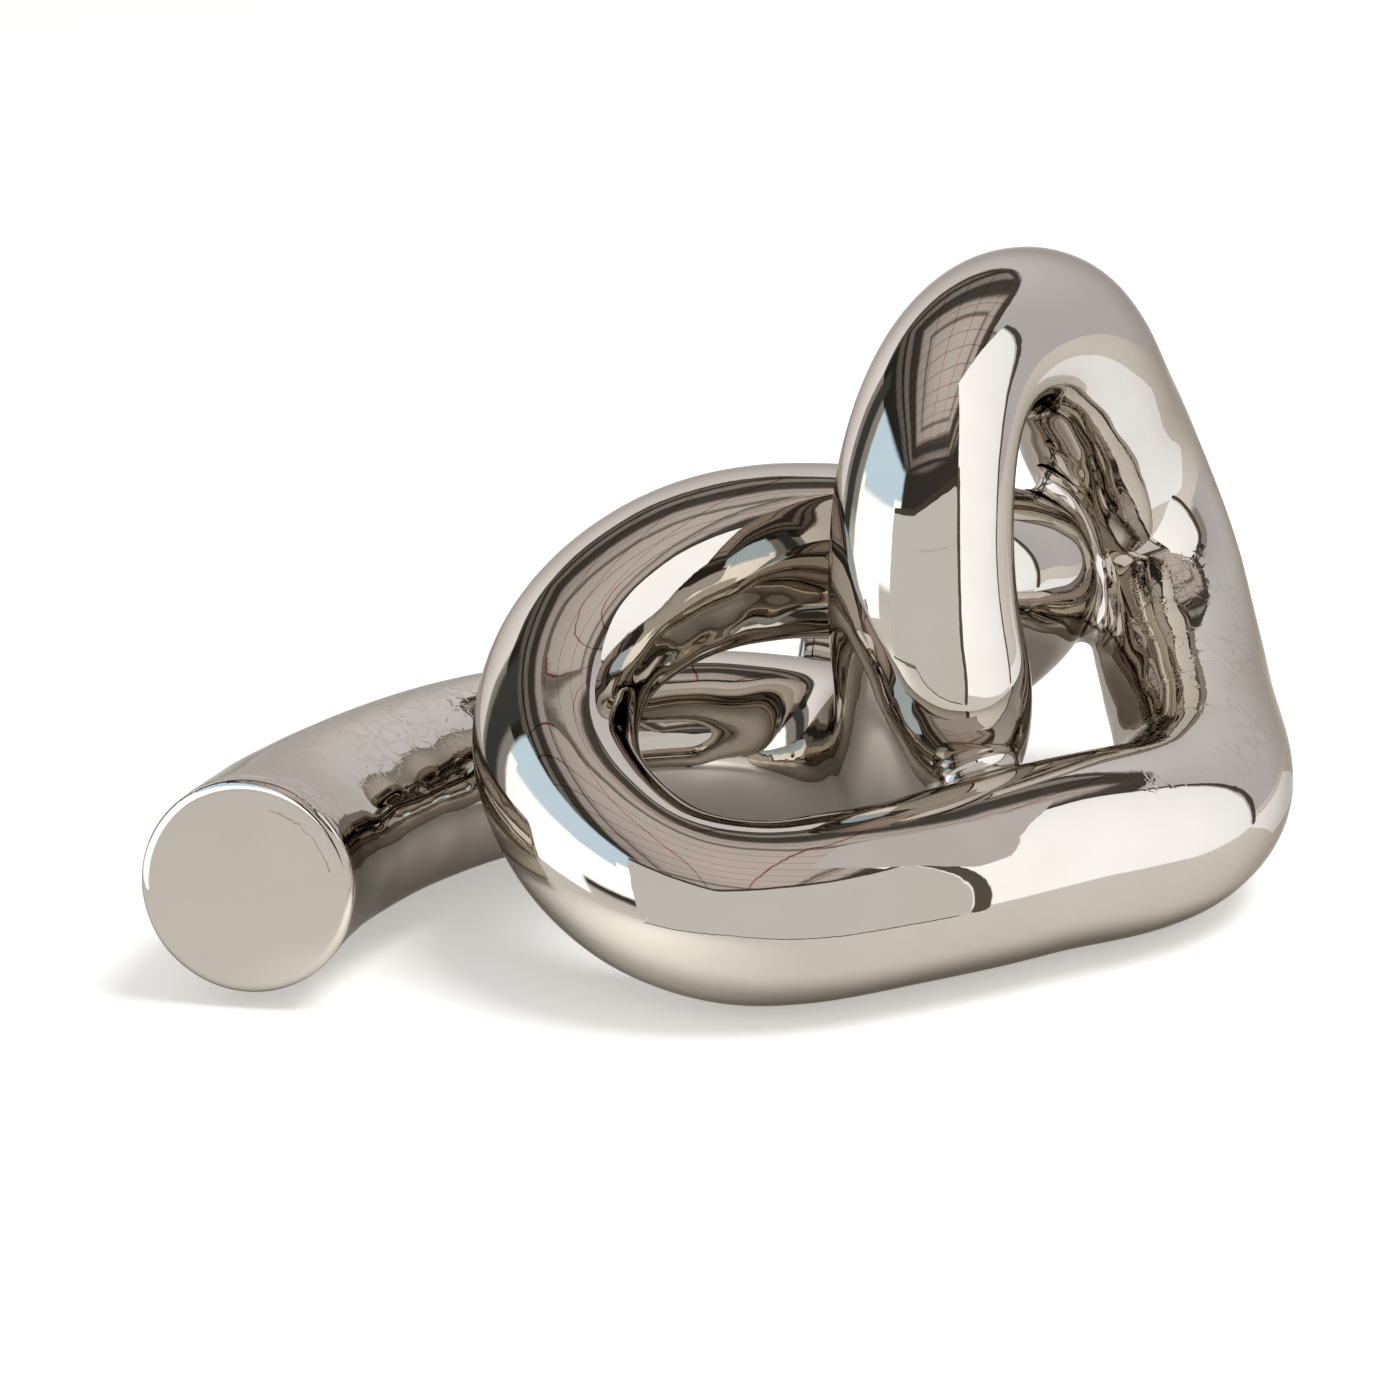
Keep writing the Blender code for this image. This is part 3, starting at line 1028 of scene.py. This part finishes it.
def arc_foot(radius: float, start: float, end: float, count: int = 24) -> tuple[Pair, ...]:
    """Draw a foot line round the sculpture.

    Args:
        radius: How far away it stands.
        start: Bearing of its start in degrees, 0 straight behind and positive to the right.
        end: Bearing of its end.
        count: How many points it has.

    Returns:
        The line's points.
    """
    bearings = np.radians(np.linspace(start, end, count))
    return tuple((radius * math.sin(b), radius * math.cos(b)) for b in bearings)


BOARDS = (
    Board("white_card", ((0.328, 0.003), (0.215, -0.16), (0.188, -0.199)),
          (0.43, 0.47), ("#F3F8FF", "#F7FAFF"), 0.003, strengths=(1.50, 1.75)),
    Board("white_card_edge", ((0.342, 0.023), (0.330, 0.006)),
          (0.43, 0.43), ("#5A534C", "#5A534C"), 0.003),
    Board("card_gap", ((0.162, -0.160), (0.153, -0.166)),
          (0.20, 0.19), ("#6A625A", "#6A625A"), 0.001),
    Board("grey_card", ((0.153, -0.166), (0.0, -0.28), (-0.095, -0.225)),
          (0.177, 0.165), ("#F0F0EE", "#F4F4F4"), 0.001, (0.003, 0.003), (0.95, 0.92)),
    Board("grey_card_rim", ((0.153, -0.166), (0.0, -0.28), (-0.095, -0.225)),
          (0.190, 0.176), ("#4F4944", "#5A544E"), 0.001, (0.176, 0.164)),
    # Painted shadow: a thin dark strip along the grey card's foot, where it meets the floor.
    Board("grey_card_foot_shadow", ((0.149, -0.168), (0.0, -0.279), (-0.095, -0.224)),
          (0.003, 0.003), ("#6A625A", "#6A625A"), 0.0005),
    Board("window_pane", ((-0.255, -0.27), (-0.31, -0.14), (-0.36, 0.0)),
          (0.235, 0.235), ("#FBFCFF", "#F4F6FA"), 0.02, (-0.02, -0.02), (2.15, 2.0)),
    Board("window_side", ((-0.13, -0.365), (-0.165, -0.34), (-0.265, -0.265), (-0.283, -0.222)),
          (0.235, 0.235), ("#FBFCFF", "#FBFCFF"), 0.02, (0.055, 0.055), (2.15, 2.15)),
    Board("floor_joint", ((-0.31, -0.51), (-0.285, -0.49), (-0.24, -0.41), (-0.21, -0.355)),
          (0.001, 0.001), ("#5A534C", "#5A534C"), 0.0002),
    Board("window_sky", ((-0.135, -0.38), (-0.17, -0.355), (-0.375, 0.01)),
          (0.34, 0.45), ("#CEE9FF", "#CEE9FF"), 0.03, (0.18, 0.18), (1.35, 1.35)),
    Board("wall_corner", ((-0.64, 0.13), (-0.60, 0.36)),
          (0.75, 0.75), ("#434847", "#4D4C4A"), 0.05),
    Board("backdrop", arc_foot(1.3, -54.0, 90.0),
          (0.9, 1.85), ("#F6F6FA", "#E8E8F0"), 0.06, (-0.1, -0.1), (1.38, 0.80)),
    Board("backdrop_rail", arc_foot(1.28, -54.0, 90.0),
          (1.0, 1.95), ("#55504C", "#55504C"), 0.03, (0.88, 1.83)),
    Board("far_wall", arc_foot(2.2, 120.0, 250.0),
          (1.45, 1.45), ("#45413E", "#3A3836"), 0.25, (-0.1, -0.1)),
)

SHEETS = (
    Sheet("lying_card", ((0.20, 0.0), (0.345, 0.0), (0.46, 0.07), (0.46, 0.30), (0.20, 0.085)),
          2 * MM, "#F3F8FF", 1.5),
    Sheet("hanging_card", ((0.045, -0.100), (0.123, -0.062), (0.133, -0.092), (0.145, -0.111),
                           (0.194, -0.155), (0.190, -0.168), (0.120, -0.148), (0.045, -0.138)),
          120 * MM, "#E0DDE0", 1.0, clear_from_above=True),
)


@dataclass
class Studio:
    """The pale floor, the boards, sheets and ceiling that the metal mirrors, and the lamp."""

    board_steps: int = 40
    floor_colour: str = "#F6F5F3"
    floor_size: float = 14.0
    floor_sides: int = 128
    floor_mirrored: str = "#DEDCDA"
    floor_lift_seen: float = 0.40
    floor_lift_mirrored: float = 0.17
    # Painted light: a pool of glare painted into the floor's glow, seen only in the metal.
    floor_glare: Place = (-0.065, -0.18, 0.0)
    floor_glare_reach: float = 0.11
    floor_glare_strength: float = 0.82
    room_colour: str = "#A2A09D"
    ceiling_place: Place = (0.0, -0.6, 1.9)
    ceiling_reach: float = 2.6
    ceiling_bands: tuple[tuple[float, str], ...] = (
        (0.0, "#E8DCDD"), (0.30, "#DAD3CE"), (0.32, "#85807B"), (0.33, "#85807B"), (0.35, "#D2CDC7"),
        (0.43, "#D2CAC7"), (0.47, "#5E5955"), (0.58, "#4E4A46"), (0.62, "#A39E98"), (0.68, "#A39E98"),
        (0.71, "#4A4744"), (0.74, "#4A4744"), (0.77, "#97938D"), (0.86, "#8A8782"), (0.90, "#4C4A47"),
        (1.0, "#454340"),
    )
    ceiling_middle: Pair = (0.15, -0.7)
    ceiling_size: Pair = (2.1, 3.2)
    ceiling_panel: str = "#FFFFFF"
    ceiling_panel_size: Pair = (0.45, 0.3)
    ceiling_joint: str = "#B8706C"
    ceiling_joint_width: float = 0.008
    ceiling_joint_soft: float = 0.3
    ceiling_fall_span: Pair = (-1.8, 0.6)
    ceiling_fall: Pair = (0.55, 1.0)
    lamp_place: Place = (0.9, -0.1, 2.2)
    lamp_size: float = 1.5
    lamp_power: float = 40.0
    world_strength: float = 0.45

    def build(self) -> None:
        """Set the floor, the boards, the sheets, the ceiling, the lamp and the world."""
        self._floor()
        for board in BOARDS:
            self._board(board)
        for sheet in SHEETS:
            self._sheet(sheet)
        self._ceiling()
        self._lamp()
        self._world()

    def _stand(self, mesh: Mesh, material: Material, only_mirrored: bool = True) -> None:
        """Put a mesh in the scene as part of the studio.

        Args:
            mesh: The mesh.
            material: Its only material.
            only_mirrored: Whether it is to be seen only in the metal.
        """
        mesh.materials.append(material)
        made = put_in_scene(mesh)
        if only_mirrored:
            made.visible_camera = False
            made.visible_diffuse = False
            made.visible_shadow = False

    def _floor(self) -> None:
        """A wide pale floor that keeps the sculpture's shadow, with a painted pool of glare that only the
        metal sees.
        """
        paint, tree = start_material("pale_floor_paint")
        path = add_node(tree, "ShaderNodeLightPath").outputs
        glossy = path["Is Glossy Ray"]
        colours = (linear(self.floor_colour), linear(self.floor_mirrored))
        place = add_node(tree, "ShaderNodeTexCoord").outputs["Object"]
        # Painted light: near the glare spot, the glow that the metal sees is raised into a pool of glare.
        away = add_node(tree, VECTOR_MATH, (place, self.floor_glare), operation="DISTANCE")
        lifts = (self.floor_glare_strength, self.floor_lift_mirrored)
        glare = add_node(tree, MAP_RANGE, (away, 0.0, self.floor_glare_reach, *lifts), **SMOOTH)
        mirrored = add_node(tree, MATH, (glossy, glare), operation="MULTIPLY")
        seen = (path["Is Camera Ray"], self.floor_lift_seen, mirrored)
        feed(tree.nodes["Principled BSDF"], {
            "Base Color": add_node(tree, MIX, (glossy, *colours), **RGBA),
            "Roughness": 1.0,
            "Specular IOR Level": 0.0,
            "Emission Color": linear(self.floor_colour),
            "Emission Strength": add_node(tree, MATH, seen, operation="MULTIPLY_ADD"),
        })
        bm = bmesh.new()
        bmesh.ops.create_circle(bm, cap_ends=True, segments=self.floor_sides, radius=self.floor_size)
        self._stand(finish_mesh(bm, "floor"), paint, only_mirrored=False)

    def _board(self, board: Board) -> None:
        """Stand a board up.

        Args:
            board: What to build.
        """
        foot = np.array(board.foot)
        run = lengths_along(foot)
        bm = bmesh.new()
        along_layer = bm.verts.layers.float.new("along")
        edge_layer = bm.verts.layers.float.new("edge")
        grid = []
        for share in np.linspace(0.0, 1.0, self.board_steps + 1):
            at = share * run[-1]
            x, y = (float(np.interp(at, run, foot[:, axis])) for axis in (0, 1))
            low, high = (start + (end - start) * share for start, end in (board.bottom, board.top))
            column = []
            for level in np.linspace(low, high, self.board_steps + 1):
                vert = bm.verts.new((x, y, level))
                vert[along_layer] = share
                vert[edge_layer] = min(at, run[-1] - at, level - low, high - level)
                column.append(vert)
            grid.append(column)
        for left, right in zip(grid, grid[1:]):
            for k in range(self.board_steps):
                bm.faces.new((left[k], right[k], right[k + 1], left[k + 1]))
        self._stand(finish_mesh(bm, board.name), self._glow(board))

    def _glow(self, board: Board) -> Material:
        """Make a board's light: from one colour to the other, fading out at the edges.

        Args:
            board: The board it is for.

        Returns:
            The finished material.
        """
        glow, tree = start_material(f"{board.name}_glow", empty=True)
        along = add_node(tree, "ShaderNodeAttribute", attribute_name="along").outputs["Fac"]
        edge = add_node(tree, "ShaderNodeAttribute", attribute_name="edge").outputs["Fac"]
        light = add_node(tree, "ShaderNodeEmission", (
            add_node(tree, MIX, (along, *map(linear, board.colours)), **RGBA),
            add_node(tree, MAP_RANGE, (along, 0.0, 1.0, *board.strengths)),
        ))
        shown = add_node(tree, MAP_RANGE, (edge, 0.0, board.soft), **SMOOTH)
        clear = add_node(tree, "ShaderNodeBsdfTransparent")
        mixed = add_node(tree, "ShaderNodeMixShader", (shown, clear, light))
        add_node(tree, "ShaderNodeOutputMaterial", (mixed,))
        return glow

    def _sheet(self, sheet: Sheet) -> None:
        """Lay or hang a sheet.

        Args:
            sheet: What to build.
        """
        glow, tree = start_material(f"{sheet.name}_glow", empty=True)
        shown = add_node(tree, "ShaderNodeEmission", (linear(sheet.colour), sheet.strength))
        if sheet.clear_from_above:
            upper = add_node(tree, "ShaderNodeNewGeometry").outputs["Backfacing"]
            clear = add_node(tree, "ShaderNodeBsdfTransparent")
            shown = add_node(tree, "ShaderNodeMixShader", (upper, shown, clear))
        add_node(tree, "ShaderNodeOutputMaterial", (shown,))
        corners = [(*corner, sheet.height) for corner in sheet.corners]
        mesh = bpy.data.meshes.new(sheet.name)
        mesh.from_pydata(corners, [], [range(len(corners))])
        self._stand(mesh, glow)

    def _ceiling(self) -> None:
        """A glowing panelled ceiling, only there to be mirrored: painted light, lighter on the right, with
        darker frames round its middle.
        """
        glow, tree = start_material("ceiling_panels", empty=True)
        place = add_node(tree, "ShaderNodeTexCoord").outputs["Object"]
        panels = add_node(tree, "ShaderNodeTexBrick", {
            "Vector": place,
            "Color1": linear(self.ceiling_panel),
            "Color2": linear(self.ceiling_panel),
            "Mortar": linear(self.ceiling_joint),
            "Scale": 1.0,
            "Mortar Size": self.ceiling_joint_width,
            "Mortar Smooth": self.ceiling_joint_soft,
            "Brick Width": self.ceiling_panel_size[0],
            "Row Height": self.ceiling_panel_size[1],
        }, offset=0.0)
        spread = add_node(tree, "ShaderNodeSeparateXYZ", (place,)).outputs
        reaches = []
        for axis, middle, size in zip("XY", self.ceiling_middle, self.ceiling_size):
            off = add_node(tree, MATH, (spread[axis], middle), operation="SUBTRACT")
            away = add_node(tree, MATH, (off,), operation="ABSOLUTE")
            reaches.append(add_node(tree, MATH, (away, size), operation="DIVIDE"))
        frame = add_node(tree, MATH, tuple(reaches), operation="MAXIMUM")
        bands = add_node(tree, "ShaderNodeValToRGB", (frame,))
        while len(bands.color_ramp.elements) < len(self.ceiling_bands):
            bands.color_ramp.elements.new(1.0)
        for stop, (position, colour) in zip(bands.color_ramp.elements, self.ceiling_bands):
            stop.position = position
            stop.color = linear(colour)
        # Painted light: the ceiling's glow is weaker to the left.
        fall = (spread["X"], *self.ceiling_fall_span, *self.ceiling_fall)
        light = add_node(tree, "ShaderNodeEmission", (
            add_node(tree, MIX, (1.0, bands, panels), **RGBA, blend_type="MULTIPLY"),
            add_node(tree, MAP_RANGE, fall, **SMOOTH),
        ))
        add_node(tree, "ShaderNodeOutputMaterial", (light,))
        bm = bmesh.new()
        bmesh.ops.create_grid(bm, x_segments=1, y_segments=1, size=self.ceiling_reach)
        bmesh.ops.translate(bm, verts=bm.verts, vec=self.ceiling_place)
        self._stand(finish_mesh(bm, "ceiling"), glow)

    def _lamp(self) -> None:
        """One wide soft lamp, up on the right, which the metal doesn't mirror."""
        lamp = bpy.data.lights.new("softbox", "AREA")
        lamp.shape = "DISK"
        lamp.size = self.lamp_size
        lamp.energy = self.lamp_power
        held = put_in_scene(lamp)
        held.location = self.lamp_place
        held.rotation_euler = (-Vector(self.lamp_place)).to_track_quat("-Z", "Y").to_euler()
        held.visible_glossy = False

    def _world(self) -> None:
        """Even light for the floor, white for the camera and a dim room for the metal."""
        world = bpy.data.worlds.new("studio_room")
        bpy.context.scene.world = world
        world.use_nodes = True
        tree = world.node_tree
        tree.nodes.clear()
        path = add_node(tree, "ShaderNodeLightPath").outputs
        even = (self.world_strength,) * 3 + (1.0,)
        room = (path["Is Glossy Ray"], even, linear(self.room_colour))
        mirrored = add_node(tree, MIX, room, **RGBA)
        seen = add_node(tree, MIX, (path["Is Camera Ray"], mirrored, linear("#FFFFFF")), **RGBA)
        back = add_node(tree, "ShaderNodeBackground", (seen, 1.0))
        add_node(tree, "ShaderNodeOutputWorld", (back,))


@dataclass
class PhotoCamera:
    """The photograph's point of view."""

    route: Route
    distance: float = 1.3
    elevation: float = 18.0
    aim_height: float = 60 * MM
    focal_pixels: float = 4420.0
    image_pixels: float = 1400.0
    sensor: float = 36.0
    clip_end: float = 100.0

    def build(self) -> None:
        """Place the camera and make it the scene's own."""
        lens = bpy.data.cameras.new("photo_camera")
        lens.sensor_width = self.sensor
        lens.lens = self.focal_pixels / self.image_pixels * self.sensor
        lens.clip_end = self.clip_end
        camera = put_in_scene(lens)
        tilt = math.radians(self.elevation)
        aim = Vector((-self.route.middle[0], -self.route.middle[1], self.aim_height + self.route.ground_gap))
        camera.location = aim - Vector((0.0, math.cos(tilt), -math.sin(tilt))) * self.distance
        camera.rotation_euler = (math.pi / 2.0 - tilt, 0.0, 0.0)
        bpy.context.scene.camera = camera


def main() -> None:
    """Build the dressed sculpture and its studio."""
    logging.basicConfig(level=logging.INFO, format="%(name)s: %(message)s")
    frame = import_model()
    route = Route()
    nickel = PolishedNickel().build()
    tubes = tuple(sorted(name for name in frame["nodes"] if name.startswith("tube_")))
    seams = tuple(FusedSeam(route, contact) for contact in Contact)
    TubeSkin(route, tubes, tuple(seam.middle() for seam in seams)).build(nickel)
    for end in End:
        EndDisc(route, end).build(nickel)
    for seam in seams:
        seam.build(nickel)
    hidden = HiddenPieces(frame)
    hidden.dress("sleeve_", TurnedAluminium().build())
    hidden.dress("pad_", PressedFelt().build())
    Studio().build()
    PhotoCamera(route).build()
    bpy.context.scene.view_settings.view_transform = "Standard"


if __name__ == "__main__":
    main()
